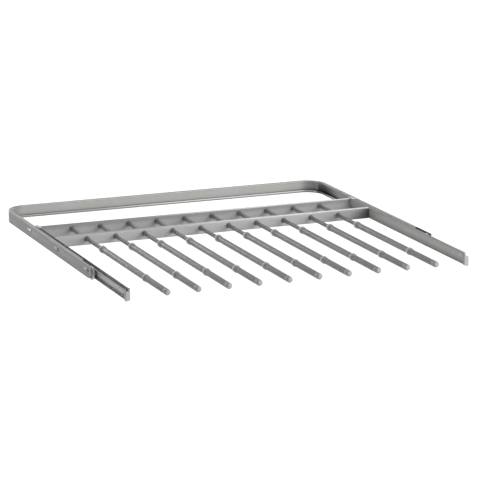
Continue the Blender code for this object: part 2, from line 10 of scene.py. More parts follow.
import bmesh
import bpy
import numpy as np
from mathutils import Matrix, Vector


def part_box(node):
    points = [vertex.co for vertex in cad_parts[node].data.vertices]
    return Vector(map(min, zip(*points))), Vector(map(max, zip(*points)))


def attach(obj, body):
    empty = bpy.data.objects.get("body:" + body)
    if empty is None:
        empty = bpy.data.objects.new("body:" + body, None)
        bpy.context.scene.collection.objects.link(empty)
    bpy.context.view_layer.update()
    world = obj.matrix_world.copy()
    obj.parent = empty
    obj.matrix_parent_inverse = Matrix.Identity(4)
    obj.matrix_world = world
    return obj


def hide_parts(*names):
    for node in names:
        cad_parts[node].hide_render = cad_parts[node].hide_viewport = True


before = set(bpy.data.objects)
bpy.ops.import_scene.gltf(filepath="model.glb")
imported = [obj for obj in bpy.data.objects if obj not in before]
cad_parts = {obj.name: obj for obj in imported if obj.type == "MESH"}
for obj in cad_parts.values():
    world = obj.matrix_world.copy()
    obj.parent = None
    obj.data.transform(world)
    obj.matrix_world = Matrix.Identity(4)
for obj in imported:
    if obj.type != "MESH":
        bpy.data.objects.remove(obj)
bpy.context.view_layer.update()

SIDES = {"left": -1, "right": 1}
ENDS = ("rear", "front")
ROD_NUMBERS = [f"{number:02d}" for number in range(1, 11)]
X_AXIS, Y_AXIS, Z_AXIS = np.eye(3)

# Fineness
BEND_STEPS = 5               # faces round a folded edge
CORNER_STEPS = 28            # faces round a bent corner of the frame
ROUND_STEPS = 48             # faces round a turned piece
HOLE_STEPS = 32              # faces round a hole or a weld
ARC_STEPS = 6                # faces over a turned piece's round edge
NOSE_STEPS = 18              # faces over a tip's round end
BURR_STEPS = 2               # faces over a softened cut edge
CAP_EDGE_STEPS = 3           # faces over a cap's edge
SHARP_ANGLE = math.radians(32)
MERGE = 0.000001             # points nearer than this become one

# Cut edges
OVERRUN = 0.002              # by which a cutter passes the face that it cuts
BURR = 0.00012               # softened width of a cut edge

# Fixed frame
FRAME_GAUGE = 0.0010
FRAME_FLANGE = 0.0075
FRAME_LIP = 0.0022
FRAME_LOW_LIP = 0.0050       # lip on the lower flange
FRAME_CORNER = 0.043         # outer radius of the two bent corners
FRAME_BEND = 0.0008          # inner radius of the channel's folds
TOP_CUTAWAY = 0.062          # length without a top flange at a leg's front end
ROLLER_WELL_CLEAR = 0.001
LEG_NOSE = 0.020             # radius of a leg's lower front corner
SCREW_HOLE_RADIUS = 0.0025
SCREW_HOLE_Y = (-0.178, -0.353, -0.528)
SCREW_HOLE_RISE = 0.002      # Z of the screw holes' middles
COUNTERSINK_RADIUS = 0.0038
DISH_RADIUS = 0.0054         # pressed seat round a screw hole
DISH_DEPTH = 0.0008
AXLE_DISH_RADIUS = 0.0048    # pressed seat round an axle's hole
TROUGH_RADIUS = 0.0026       # half the height of the long shallow seat behind a screw hole
TROUGH_FLOOR = TROUGH_RADIUS / 3    # half the height of its floor
TROUGH_STRETCH = 4.2         # its length over its height
TROUGH_DEPTH = 0.0005
TROUGH_SHIFT = 0.0085        # its middle from the hole's

# Rails
RAIL_GAUGE = 0.0010
RAIL_LEDGE = 0.0172          # height of the ledge's underside over the rail's foot
RAIL_LEDGE_ROUND = 0.0004
RAIL_BEAD = 0.0010
RAIL_BEAD_LOW = 0.0060
RAIL_BEAD_HIGH = 0.0125
RAIL_FOLD = 0.0005           # inner radius of the rail's folds
RAIL_TOP_SETBACK = {"left": 0.0026, "right": 0.0008}    # top flange behind the ledge's edge
RAIL_HOLE_RADIUS = 0.0015
RAIL_HOLE_SETBACK = 0.016
RAIL_HOLE_HEIGHT = 0.0152

# Crossbars
CROSSBAR_GAUGE = 0.0010
CROSSBAR_BEND = 0.0008       # inner radius of the crossbars' folds
ROD_FIT = 0.0001             # clearance of a rod in its hole
WELD_RADIUS = 0.0054         # fillet round a rod where it meets a crossbar
WELD_REACH = 0.0034
WELD_SINK = 0.0005           # by which a fillet starts behind the crossbar's face
WELD_HOLLOW = 0.7            # power of the cosine in its outline, 1 for an ellipse

# Rods, sleeves, tips and rings
ROD_RADIUS = 0.0040
ROD_WALL = 0.0010
ROD_EDGE = ROD_WALL / 3
SLEEVE_FIT = 0.0001
SLEEVE_EDGE = 0.00025
TIP_LENGTH = 0.0150
TIP_SEAM = 0.0005            # width and depth of the seam behind a tip
TIP_ROUND = 0.0042           # radius of a tip's end edge
RING_COLLAR = 0.0022         # length before a ring tapers
RING_TOE = 0.0004            # thickness of its front end
RING_EDGE = 0.0005

# Rollers and axles
AXLE_RADIUS = 0.0020
ROLLER_RIM_GAP = 0.0004      # rail to the front roller's rim
ROLLER_RIM_WIDTH = 0.0036
FRONT_HUB_RADIUS = 0.0056    # hub between the front roller's rim and the leg
ROLLER_EDGE = 0.0004
ROLLER_FIT = 0.0003          # lip of the frame to the rear roller's rim
DRUM_RADIUS = 0.0078
REAR_HUB_RADIUS = 0.0048
REAR_RECESS_RADIUS = 0.0044
REAR_RECESS = 0.0013
RIM_RECESS_RADIUS = 0.0104
RIM_RECESS = 0.0008

# Caps
CAP_ROUND = 0.0010
CAP_EDGE = 0.0005
CAP_FOOT_WIDTH = 0.0034
CAP_FOOT_DROP = 0.0014
CAP_TAB_WIDTH = 0.0028       # part of a front cap that is as high as its rail
CAP_TAB_SLOPE = 0.0012       # fall of the tab's top towards the rail's groove
CAP_PLUG_CLEAR = 0.0003
CAP_PLUG_LENGTH = 0.0080

# Grain: how much a pattern is pulled out along each axis, and tints
ALONG_Y, ALONG_X, ALL_ROUND = (1.0, 0.015, 1.0), (0.015, 1.0, 1.0), (1.0, 1.0, 1.0)
ALONG_AXLE = (0.05, 1.0, 1.0)
WARM, COOL, PLAIN = (1.0, 1.0, 0.985), (0.995, 0.99, 1.01), (1.0, 1.0, 1.0)

# Materials: a step is in greys of 0 to 255 from the material's own, or in roughness
PAINT_METALLIC, PAINT_SPECULAR, STEEL_SPECULAR = 0.12, 0.15, 0.2
PAINT_MOTTLE_STEP, PAINT_GLOSS_STEP = 8, 0.06
PAINT_LINE_STEP, PAINT_LINE_SHARE = 14, 0.3
# Paint's edges are lightened as wear and as a painted highlight
PAINT_WEAR_AND_HIGHLIGHT_STEP, PAINT_WEAR_AND_HIGHLIGHT_SHARE = 45, 0.5
STEEL_LINE_STEP, STEEL_GLOSS_STEP = 16, 0.08
STEEL_CLOUD_STEP, STEEL_CLOUD_SHARE = -30, 0.3
PLASTIC_MOTTLE_STEP, PLASTIC_GLOSS_STEP = 7, 0.07
PLASTIC_PIT_STEP, PLASTIC_PIT_SHARE = -22, 0.12
# Plastic's lighter edges are a painted highlight
PLASTIC_EDGE_HIGHLIGHT_STEP, PLASTIC_LIGHTEST = 55, 245
# a painted sheen, lighter where the surface is seen aslant
PLASTIC_SHEEN_STEP, PLASTIC_SHEEN_SPAN = 60, (0.45, 0.95)
PLASTIC_COAT_ROUGHNESS = 0.35

# Painted shade and painted highlight, laid on in turn: strength, grey, and spans of (measure, where
# it is absent, where full)
# The frame: painted shade on the channel's floor, at the corners as a painted dark reflection, on
# the outer face, the cut front ends, beside the screw holes and along the foot; painted highlight
# on the lower lip and in the troughs
FRAME_PAINTED_SHADING = {
    "channel floor": (0.55, 96, ("depth", 0.0004, 0.0008), ("depth", 0.0030, 0.0020),
                      ("height", 0.0068, 0.0044)),
    "lower lip": (0.80, 204, ("depth", 0.0058, 0.0062), ("x", -0.20, 0.05),
                  ("height", 0.0026, 0.0032), ("height", 0.0080, 0.0055)),
    "corner": (0.40, 96, ("depth", 0.0004, 0.0008), ("turn", 1.57, 1.20), ("turn", 0.66, 0.78)),
    "end of the corner": (0.85, 48, ("depth", 0.0004, 0.0008), ("turn", 0.62, 0.50),
                          ("y", -0.12, -0.045), ("height", 0.028, 0.008)),
    "outer face": (0.55, 118, ("depth", 0.0006, 0.0003)),
    "front end": (0.70, 96, ("from_front", 0.0012, 0.0006)),
    "trough": (0.75, 205, ("trough_reach", 1.0, 0.45), ("depth", 0.0008, 0.0007)),
    "screw hole": (0.85, 50, ("hole_reach", 1.0, 0.45)),
    "foot": (0.75, 84, ("height", 0.0032, 0.0025)),
}
TROUGH_OVAL = (TROUGH_SHIFT, 0.0120, 0.0030)    # painted highlight's oval: middle from the hole's, half length, half height
# the painted shade's oval beside each screw hole, likewise
HOLE_OVAL = (-0.0070, 0.0078, 0.0046)
# The rails: painted shade towards the foot and on the top, painted light in the groove
RAIL_PAINTED_SHADING = {
    "foot": (0.80, 84, ("behind_face", 0.0007, 0.0004), ("height", 0.0160, 0.0010)),
    "groove": (0.50, 214, ("behind_face", 0.0004, 0.0007), ("height", 0.0022, 0.0040),
               ("height", 0.0186, 0.0180)),
    "right top": (0.42, 60, ("height", 0.0212, 0.0222), ("x", -0.1, 0.1)),
    "left top": (0.97, 60, ("height", 0.0212, 0.0222), ("x", 0.1, -0.1)),
}
# The crossbars: painted shade on the rear bar's upper half and the front bar's right end and upper
# corner, and a painted highlight along the top
CROSSBAR_PAINTED_SHADING = {
    "rear bar's upper half": (0.55, 84, ("rearward", 0, 1), ("under_top", 0.0140, 0.0010)),
    "front bar's right end": (0.35, 84, ("rearward", 1, 0), ("from_end", 0.160, 0.040)),
    "front bar's upper corner": (0.85, 60, ("rearward", 1, 0), ("aslant", 0.055, 0.002)),
    "top": (0.75, 246, ("under_top", 0.0012, 0.0003), ("x", -0.22, 0.16)),
}
CORNER_SLOPE = 0.9           # run of the upper corner's painted shade over its rise
# The rings: a painted highlight on the collar at the rear end
RING_PAINTED_SHADING = {"collar": (0.60, 226, ("ahead", 0.0060, 0.0036), ("ahead", -0.004, -0.001))}
# The sleeves: painted shade towards the rear end and on the underside
SLEEVE_PAINTED_SHADING = {
    "rear end": (1.00, 90, ("y", -0.66, -0.44)),
    "underside": (0.50, 76, ("z", 0.0035, -0.0025)),
}

# Camera, floor and light
CAMERA_PLACE = (-1.8578, -4.9342, 1.1828)
CAMERA_PITCH = -13.59        # degrees, negative for below the horizon
CAMERA_YAW = 22.38           # degrees, to the right of +Y
CAMERA_LENS = 190.82
CAMERA_SENSOR = 36           # mm, as the lens
CAMERA_CLIP = (0.1, 60)
WHITE = (1, 1, 1, 1)
FLOOR_Z = -0.42
FLOOR_RADII = (14.0, 7.05)
FLOOR_GLOW = 0.9             # the floor's own light where it is seen
FLOOR_SHOWN = 0.24           # share of the light on it that is seen
FLOOR_BOUNCE = 0.38          # light that the floor sends up
FLOOR_WHITE = 0.7            # share of the light on it that it sends back
SKY = 0.10                   # light from all round
LAMP_SIZE = 2.0
LAMP_TARGET = (0, -0.38, 0)  # the hanger's middle
LAMPS = {                    # place and watts: low in front, behind, and above
    "key": ((1.5, -3.2, 0.75), 142),
    "fill": ((-0.8, 3.4, 0.4), 55),
    "top": ((-0.3, -0.5, 3.2), 38),
}


def middle_of(low, high):
    """The middle between two corners, as x, y, z."""
    return (np.array(low) + np.array(high)) / 2


def rounded_outline(corners):
    """Corner points (u, v, radius) as a closed outline with an arc at each corner.

    An arc's centre lies on the corner's bisector, at radius / sin(half angle), and the arc
    starts and ends radius / tan(half angle) from the corner.
    """
    corners = np.array(corners, float)
    places, radii = corners[:, :2], corners[:, 2]
    befores, afters = np.roll(places, 1, 0), np.roll(places, -1, 0)
    parts = []
    for corner, before, after, radius in zip(places, befores, afters, radii):
        if radius == 0:
            parts.append(corner[None])
            continue
        back = (before - corner) / np.linalg.norm(before - corner)
        ahead = (after - corner) / np.linalg.norm(after - corner)
        half = math.acos(np.clip(back @ ahead, -1, 1)) / 2
        bisector = (back + ahead) / np.linalg.norm(back + ahead)
        centre = corner + bisector * radius / math.sin(half)
        start = corner + back * radius / math.tan(half) - centre
        end = corner + ahead * radius / math.tan(half) - centre
        turn = math.atan2(start[0] * end[1] - start[1] * end[0], start @ end)
        angle = np.linspace(0, turn, BEND_STEPS + 1)[:, None]
        quarter_on = np.array((-start[1], start[0]))
        parts.append(centre + np.cos(angle) * start + np.sin(angle) * quarter_on)
    return np.vstack(parts)


def surface(name, points, capped):
    """A mesh object over a grid of points whose columns close on themselves.

    Grid point (i, j) is joined to (i, j + 1), (i + 1, j + 1) and (i + 1, j), and the first and
    last rows are closed by a face each where the grid is capped, or joined to each other.
    """
    rows, columns = points.shape[:2]
    index = np.arange(rows * columns).reshape(rows, columns)
    wrapped = np.hstack([index, index[:, :1]])
    if not capped:
        wrapped = np.vstack([wrapped, wrapped[:1]])
    quads = np.stack([wrapped[:-1, :-1], wrapped[:-1, 1:], wrapped[1:, 1:], wrapped[1:, :-1]], -1)
    faces = quads.reshape(-1, 4).tolist()
    if capped:
        faces += [index[0].tolist(), index[-1][::-1].tolist()]
    mesh = bpy.data.meshes.new(name)
    mesh.from_pydata(points.reshape(-1, 3).tolist(), [], faces)
    tidy_mesh(mesh)
    piece = bpy.data.objects.new(name, mesh)
    bpy.context.scene.collection.objects.link(piece)
    return piece


def tidy_mesh(mesh):
    """Close seams and poles, point the faces outwards and shade the round forms smooth."""
    bm = bmesh.new()
    bm.from_mesh(mesh)
    bmesh.ops.remove_doubles(bm, verts=bm.verts, dist=MERGE)
    bmesh.ops.recalc_face_normals(bm, faces=bm.faces)
    bm.to_mesh(mesh)
    bm.free()
    mesh.shade_smooth()
    mesh.set_sharp_from_angle(angle=SHARP_ANGLE)


def swept(name, section, stations, across):
    """A section carried along a path.

    Point (i, j) is station i, plus the section's u of point j along the station's own across
    direction, plus its v along +Z.
    """
    stations = np.array(stations, float)
    across = np.broadcast_to(np.array(across, float), stations.shape)
    u, v = section[:, 0], section[:, 1]
    points = stations[:, None] + across[:, None] * u[None, :, None] + Z_AXIS * v[None, :, None]
    return surface(name, points, capped=True)


def turned(name, profile, centre, axis, steps=ROUND_STEPS, stretch=1.0):
    """A profile of (along, radius) points turned about an axis through centre.

    Point (i, j) is centre + axis * along i + radius i * (first * cos t + second * sin t), with
    t going once round over j and second made longer by the stretch. The profile is open where
    it starts and ends on the axis, and joins its own ends where the piece has a bore.
    """
    along, radius = np.array(profile, float).T
    axis = np.array(axis, float)
    first = Z_AXIS
    second = np.cross(axis, first) * stretch
    t = np.arange(steps) * math.tau / steps
    spokes = first * np.cos(t)[:, None] + second * np.sin(t)[:, None]
    points = np.array(centre) + axis * along[:, None, None] + spokes[None] * radius[:, None, None]
    solid = radius[0] == 0
    return surface(name, points[1:-1] if solid else points, capped=solid)


def pin(radius, length):
    """The profile of a plain pin that starts at 0."""
    return [(0, 0), (0, radius), (length, radius), (length, 0)]


def arc_edge(along, radius, size, quarter):
    """The points of a small rounded edge at an (along, radius) corner.

    quarter is the sign pair (along, radius) that points from the corner into the material, and
    the arc goes from the face across the axis to the face along it.
    """
    t = np.linspace(0, math.pi / 2, ARC_STEPS + 1)
    a = along + quarter[0] * size * (1 - np.cos(t))
    r = radius + quarter[1] * size * (1 - np.sin(t))
    return list(zip(a, r))


def combine(piece, others, operation):
    """Cut other bodies out of a piece or join them to it, and leave a plain mesh."""
    for other in others:
        modifier = piece.modifiers.new("combine", "BOOLEAN")
        modifier.operation = operation
        modifier.solver = "EXACT"
        modifier.object = other
    depsgraph = bpy.context.evaluated_depsgraph_get()
    made = bpy.data.meshes.new_from_object(piece.evaluated_get(depsgraph))
    piece.modifiers.clear()
    piece.data = made
    tidy_mesh(made)
    for other in others:
        bpy.data.objects.remove(other, do_unlink=True)


def soften(piece, width, segments=BURR_STEPS):
    """Round the sharp edges of a piece."""
    modifier = piece.modifiers.new("soft_edges", "BEVEL")
    modifier.width = width
    modifier.segments = segments
    modifier.limit_method = "ANGLE"
    modifier.angle_limit = SHARP_ANGLE
    modifier.harden_normals = True


def place(piece, material, body, node=None):
    """Finish a piece: its material, the body that it rides on, and the node that it stands for."""
    piece.data.materials.clear()
    piece.data.materials.append(material)
    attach(piece, body)
    if node:
        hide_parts(node)


# Shader groups


def new_group(name, inputs, outputs):
    """A node group: inputs by name with their defaults, and the names of its value outputs."""
    group = bpy.data.node_groups.new(name, "ShaderNodeTree")
    for label, default in inputs.items():
        kind = "NodeSocketVector" if isinstance(default, tuple) else "NodeSocketFloat"
        socket = group.interface.new_socket(name=label, in_out="INPUT", socket_type=kind)
        socket.default_value = default
    for label in outputs:
        group.interface.new_socket(name=label, in_out="OUTPUT", socket_type="NodeSocketFloat")
    return group, group.nodes.new("NodeGroupInput"), group.nodes.new("NodeGroupOutput")


def node(tree, kind, settings=None, **inputs):
    """Add a shader node. Each input is a value or the socket that feeds it.

    An input is given by its name with _ for a space, or by its number as i0, i1 and so on.
    """
    made = tree.nodes.new(kind)
    for key, value in (settings or {}).items():
        setattr(made, key, value)
    for key, value in inputs.items():
        numbered = key[0] == "i" and key[1:].isdigit()
        feed(tree, made, int(key[1:]) if numbered else key.replace("_", " "), value)
    return made


def feed(tree, made, key, value):
    """Set an input of a node, or link a socket to it."""
    if isinstance(value, bpy.types.NodeSocket):
        tree.links.new(value, made.inputs[key])
    else:
        made.inputs[key].default_value = value


def math_node(tree, operation, *values):
    """The value socket of a math node."""
    made = node(tree, "ShaderNodeMath", {"operation": operation})
    for i, value in enumerate(values):
        feed(tree, made, i, value)
    return made.outputs[0]


def coat_group():
    """Sprayed or moulded surface: fine peel as a height, mottling and specks as masks."""
    group, entry, leave = new_group("coat surface", {"Peel Size": 0.0011, "Mottle Size": 0.05},
                                    ("Height", "Mottle", "Speck"))
    place_of = node(group, "ShaderNodeTexCoord").outputs["Object"]
    peel_scale = math_node(group, "DIVIDE", 1.0, entry.outputs["Peel Size"])
    mottle_scale = math_node(group, "DIVIDE", 1.0, entry.outputs["Mottle Size"])
    peel = node(group, "ShaderNodeTexNoise", Vector=place_of, Scale=peel_scale, Detail=2.0,
                Roughness=0.5)
    mottle = node(group, "ShaderNodeTexNoise", Vector=place_of, Scale=mottle_scale, Detail=3.0,
                  Roughness=0.55)
    speck = node(group, "ShaderNodeTexVoronoi", {"feature": "F1"}, Vector=place_of,
                 Scale=peel_scale)
    feed(group, leave, "Height", peel.outputs["Fac"])
    feed(group, leave, "Mottle", mottle.outputs["Fac"])
    feed(group, leave, "Speck", speck.outputs["Distance"])
    return group


def rolled_group():
    """Lines left by rolling or drawing: noise pulled out along one direction."""
    group, entry, leave = new_group(
        "rolled lines", {"Across Size": 0.0008, "Stretch": (1.0, 0.02, 1.0)}, ("Line",))
    place_of = node(group, "ShaderNodeTexCoord").outputs["Object"]
    pulled = node(group, "ShaderNodeVectorMath", {"operation": "MULTIPLY"}, i0=place_of,
                  i1=entry.outputs["Stretch"]).outputs[0]
    scale = math_node(group, "DIVIDE", 1.0, entry.outputs["Across Size"])
    lines = node(group, "ShaderNodeTexNoise", Vector=pulled, Scale=scale, Detail=4.0, Roughness=0.6)
    feed(group, leave, "Line", lines.outputs["Fac"])
    return group


def edge_group():
    """Where a surface turns an edge: how far the rounded normal leans from the true one."""
    group, entry, leave = new_group("edge mask", {"Width": 0.0006}, ("Edge",))
    rounded = node(group, "ShaderNodeBevel", {"samples": 4}, Radius=entry.outputs["Width"])
    true = node(group, "ShaderNodeNewGeometry").outputs["True Normal"]
    match = node(group, "ShaderNodeVectorMath", {"operation": "DOT_PRODUCT"},
                 i0=rounded.outputs[0], i1=true)
    lean = math_node(group, "SUBTRACT", 1.0, match.outputs["Value"])
    spread = node(group, "ShaderNodeMapRange", Value=lean, From_Min=0.01, From_Max=0.25)
    feed(group, leave, "Edge", spread.outputs[0])
    return group


COAT, ROLLED, EDGE = coat_group(), rolled_group(), edge_group()


def use(tree, group, **inputs):
    """Place a group in a material with its own values."""
    return node(tree, "ShaderNodeGroup", {"node_tree": group}, **inputs)


def mixed(tree, factor, first, second):
    """The colour socket of a mix between two colours."""
    return node(tree, "ShaderNodeMix", {"data_type": "RGBA"}, i0=factor, i6=first,
                i7=second).outputs[2]


def ranged(tree, value, low, high):
    """A mask of 0 to 1 brought to a range."""
    return node(tree, "ShaderNodeMapRange", Value=value, To_Min=low, To_Max=high).outputs[0]


def rgb(grey, tint=PLAIN):
    """A colour from an sRGB grey of 0 to 255 and a small tint, as linear RGBA."""
    share = np.array(tint) * grey / 255
    linear = np.where(share <= 0.04045, share / 12.92, ((share + 0.055) / 1.055) ** 2.4)
    return (*linear.tolist(), 1.0)


def finish(name, roughness, metallic, specular=0.5):
    """A material with its Principled shader."""
    material = bpy.data.materials.new(name)
    material.use_nodes = True
    tree = material.node_tree
    shader = tree.nodes["Principled BSDF"]
    feed(tree, shader, "Roughness", roughness)
    feed(tree, shader, "Metallic", metallic)
    feed(tree, shader, "Specular IOR Level", specular)
    return material, tree, shader


def bump(tree, shader, height, distance, before=None):
    """Feed a height into the shader's normal."""
    made = node(tree, "ShaderNodeBump", Height=height, Distance=distance, Strength=1.0)
    if before is not None:
        feed(tree, made, "Normal", before)
    feed(tree, shader, "Normal", made.outputs[0])
    return made.outputs[0]


def eased(tree, value, start, full):
    """A smooth step from 0 where a value is at start to 1 where it is at full."""
    made = node(tree, "ShaderNodeMapRange", {"interpolation_type": "SMOOTHSTEP"}, Value=value,
                From_Min=min(start, full), From_Max=max(start, full),
                To_Min=float(start > full), To_Max=float(start < full))
    return made.outputs[0]


def place_of_point(tree):
    """The x, y and z sockets of the shaded point."""
    point = node(tree, "ShaderNodeTexCoord").outputs["Object"]
    return node(tree, "ShaderNodeSeparateXYZ", Vector=point).outputs


def product(tree, *masks):
    """Masks multiplied with each other."""
    made = masks[0]
    for mask in masks[1:]:
        made = math_node(tree, "MULTIPLY", made, mask)
    return made


def shaded(tree, base, shades, **measures):
    """A colour under a table of painted shades and painted highlights.

    A shade's mask is its strength times a smooth step for each of its spans.
    """
    for strength, grey, *spans in shades.values():
        masks = [eased(tree, measures[name], start, full) for name, start, full in spans]
        base = mixed(tree, product(tree, *masks, strength), base, rgb(grey))
    return base


def oval_reach(tree, y, z, shift, half_length, half_height):
    """How far out a point is in the nearest of the upright ovals beside the screw holes, where the
    painted highlight and painted shade lie.

    It is ((y - middle) / half length)^2 + ((z - rise) / half height)^2, which is 0 in the middle
    and 1 on the rim, and it is at most 1.
    """
    up = math_node(tree, "DIVIDE", math_node(tree, "SUBTRACT", z, SCREW_HOLE_RISE), half_height)
    nearest = 1.0
    for hole_y in SCREW_HOLE_Y:
        along = math_node(tree, "SUBTRACT", y, hole_y + shift)
        along = math_node(tree, "DIVIDE", along, half_length)
        reach = math_node(tree, "ADD", product(tree, along, along), product(tree, up, up))
        nearest = math_node(tree, "MINIMUM", nearest, reach)
    return nearest


def frame_tones(tree, base):
    """Painted shade on the channel's floor, at its corners as a painted dark reflection, on the
    outer face, on the legs' cut front ends, beside the screw holes and along the foot; a painted
    highlight on the lower lip and in the troughs behind the screw holes.

    The depth of a point under the outer face is R - length(max(|x| - reach, 0), max(y + R, 0)),
    with R the radius of the corners and reach their centres' distance from the middle. The turn
    is the angle round a corner, from 0 at the leg to pi / 2 at the back bar.
    """
    low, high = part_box("u_frame")
    x, y, z = place_of_point(tree)
    side = math_node(tree, "SUBTRACT", math_node(tree, "ABSOLUTE", x), high.x - FRAME_CORNER)
    side = math_node(tree, "MAXIMUM", side, 0.0)
    back = math_node(tree, "MAXIMUM", math_node(tree, "ADD", y, FRAME_CORNER), 0.0)
    squares = math_node(tree, "ADD", product(tree, side, side), product(tree, back, back))
    return shaded(
        tree, base, FRAME_PAINTED_SHADING, x=x, y=y,
        depth=math_node(tree, "SUBTRACT", FRAME_CORNER, math_node(tree, "SQRT", squares)),
        height=math_node(tree, "SUBTRACT", z, low.z),
        turn=math_node(tree, "ARCTAN2", back, side),
        from_front=math_node(tree, "SUBTRACT", y, low.y),
        trough_reach=oval_reach(tree, y, z, *TROUGH_OVAL),
        hole_reach=oval_reach(tree, y, z, *HOLE_OVAL))


def rail_tones(tree, base):
    """Painted shade towards the foot of a rail and on its top, and painted light in its groove."""
    low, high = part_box("rail_left")
    x, _, z = place_of_point(tree)
    behind_face = math_node(tree, "ADD", math_node(tree, "ABSOLUTE", x), high.x)
    height = math_node(tree, "SUBTRACT", z, low.z)
    return shaded(tree, base, RAIL_PAINTED_SHADING, x=x, height=height, behind_face=behind_face)


def crossbar_tones(tree, base):
    """Painted shade on the rear bar's upper half and on the front bar's right end and upper corner,
    and a painted highlight along the top.

    Rearward goes from 0 at the front bar to 1 at the rear bar, and aslant is the distance from
    the right end plus CORNER_SLOPE times z.
    """
    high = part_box("front_crossbar")[1]
    rear_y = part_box("rear_crossbar")[0].y
    x, y, z = place_of_point(tree)
    behind = math_node(tree, "SUBTRACT", y, high.y)
    from_end = math_node(tree, "SUBTRACT", high.x, x)
    return shaded(
        tree, base, CROSSBAR_PAINTED_SHADING, x=x, from_end=from_end,
        rearward=math_node(tree, "DIVIDE", behind, rear_y - high.y),
        under_top=math_node(tree, "SUBTRACT", high.z, z),
        aslant=math_node(tree, "ADD", from_end, product(tree, z, CORNER_SLOPE)))


def ring_tones(tree, base):
    """A painted highlight on the collars at the rings' rear ends."""
    y = place_of_point(tree)[1]
    for end in ENDS:
        ahead = math_node(tree, "SUBTRACT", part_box(f"{end}_ring_01")[1].y, y)
        base = shaded(tree, base, RING_PAINTED_SHADING, ahead=ahead)
    return base


def sleeve_tones(tree, base):
    """Painted shade towards the sleeves' rear ends and on their undersides."""
    _, y, z = place_of_point(tree)
    return shaded(tree, base, SLEEVE_PAINTED_SHADING, y=y, z=z)


def banded(tree, mask, grey, step, tint=PLAIN):
    """A colour that goes from a step under a grey to a step over it as a mask rises."""
    return mixed(tree, mask, rgb(grey - step, tint), rgb(grey + step, tint))


def overlaid(tree, base, mask, share, grey, tint=PLAIN):
    """A colour under a grey, which covers up to a share of it as a mask rises."""
    return mixed(tree, ranged(tree, mask, 0.0, share), base, rgb(grey, tint))


def uneven(tree, shader, mask, roughness, step):
    """Let the roughness go from a step under its value to a step over it as a mask rises."""
    feed(tree, shader, "Roughness", ranged(tree, mask, roughness - step, roughness + step))


def painted_steel(name, grey, tint, roughness, stretch, tones):
    """Grey lacquer on rolled strip: peel, slow mottling, faint rolling lines, and edges lightened
    as wear and as a painted highlight.
    """
    material, tree, shader = finish(name, roughness, PAINT_METALLIC, PAINT_SPECULAR)
    coat = use(tree, COAT, Peel_Size=0.0008, Mottle_Size=0.09)
    lines = use(tree, ROLLED, Across_Size=0.0011, Stretch=stretch).outputs["Line"]
    edge = use(tree, EDGE, Width=0.0005).outputs["Edge"]
    tone = banded(tree, coat.outputs["Mottle"], grey, PAINT_MOTTLE_STEP, tint)
    tone = overlaid(tree, tone, lines, PAINT_LINE_SHARE, grey + PAINT_LINE_STEP, tint)
    # edges lightened: wear and a painted highlight
    tone = overlaid(tree, tone, edge, PAINT_WEAR_AND_HIGHLIGHT_SHARE, grey + PAINT_WEAR_AND_HIGHLIGHT_STEP, tint)
    feed(tree, shader, "Base Color", tones(tree, tone))
    uneven(tree, shader, coat.outputs["Mottle"], roughness, PAINT_GLOSS_STEP)
    first = bump(tree, shader, lines, distance=0.00001)
    bump(tree, shader, coat.outputs["Height"], distance=0.00002, before=first)
    return material


def bare_steel(name, grey, roughness, metallic, stretch):
    """Drawn or turned steel: fine lines in its colour, gloss and height."""
    material, tree, shader = finish(name, roughness, metallic, STEEL_SPECULAR)
    lines = use(tree, ROLLED, Across_Size=0.0004, Stretch=stretch).outputs["Line"]
    cloud = use(tree, COAT, Peel_Size=0.0008, Mottle_Size=0.03).outputs["Mottle"]
    tone = banded(tree, lines, grey, STEEL_LINE_STEP)
    tone = overlaid(tree, tone, cloud, STEEL_CLOUD_SHARE, grey + STEEL_CLOUD_STEP)
    feed(tree, shader, "Base Color", tone)
    uneven(tree, shader, lines, roughness, STEEL_GLOSS_STEP)
    bump(tree, shader, lines, distance=0.00003)
    return material


def moulded(name, grey, tint, roughness, peel=0.0006, depth=0.00002, coat_weight=0.1, edge_highlight=0.25,
            painted_sheen=0.0, tones=None):
    """Moulded plastic: a fine eroded texture, mottling, a painted highlight on the edges, and a
    painted sheen where it is seen aslant.
    """
    material, tree, shader = finish(name, roughness, 0.0)
    feed(tree, shader, "Coat Weight", coat_weight)
    feed(tree, shader, "Coat Roughness", PLASTIC_COAT_ROUGHNESS)
    coat = use(tree, COAT, Peel_Size=peel, Mottle_Size=0.018)
    edge = use(tree, EDGE, Width=0.0006).outputs["Edge"]
    pits = ranged(tree, coat.outputs["Speck"], PLASTIC_PIT_SHARE, 0.0)
    tone = banded(tree, coat.outputs["Mottle"], grey, PLASTIC_MOTTLE_STEP, tint)
    tone = mixed(tree, pits, tone, rgb(grey + PLASTIC_PIT_STEP, tint))
    # painted highlight on the edges
    tone = overlaid(tree, tone, edge, edge_highlight, min(grey + PLASTIC_EDGE_HIGHLIGHT_STEP, PLASTIC_LIGHTEST), tint)
    if painted_sheen:
        # painted sheen: lighter where the surface is seen aslant
        facing = node(tree, "ShaderNodeLayerWeight", Blend=0.5).outputs["Facing"]
        aslant = eased(tree, facing, *PLASTIC_SHEEN_SPAN)
        tone = overlaid(tree, tone, aslant, painted_sheen, grey + PLASTIC_SHEEN_STEP, tint)
    if tones:
        tone = tones(tree, tone)
    feed(tree, shader, "Base Color", tone)
    uneven(tree, shader, coat.outputs["Mottle"], roughness, PLASTIC_GLOSS_STEP)
    bump(tree, shader, coat.outputs["Height"], depth)
    return material


